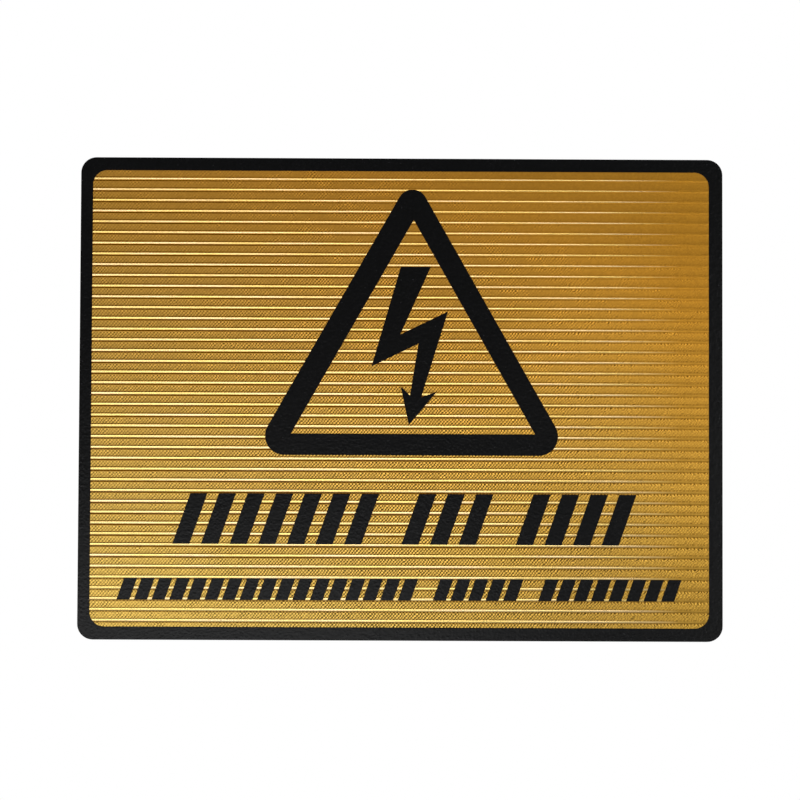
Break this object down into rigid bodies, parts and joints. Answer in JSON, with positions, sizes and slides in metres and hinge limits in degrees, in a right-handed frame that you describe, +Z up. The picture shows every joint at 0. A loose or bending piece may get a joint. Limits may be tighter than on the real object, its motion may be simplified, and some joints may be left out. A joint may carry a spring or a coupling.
{
  "type": "high voltage warning sign",
  "caption": "Thin landscape warning sign: gold ribbed metal sheet with a black border, warning triangle, flash arrow and rows of slanted stripes.",
  "frame": {"origin": "centre of the sheet's flat back", "axes": "+X along the sign, +Z up it, +Y out of its back; the printed face looks along -Y"},
  "size_m": [0.12, 0.0006, 0.09],
  "materials": {
    "gold_sheet": "gold anodised, satin, with fine raised ribs",
    "black_print": "thick matt black printing ink"
  },
  "bodies": {
    "root": {"sign_sheet": "gold_sheet", "border_print": "black_print", "triangle_print": "black_print", "flash_arrow_print": "black_print", "upper_stripe_print": "black_print", "lower_stripe_print": "black_print"}
  },
  "joints": []
}
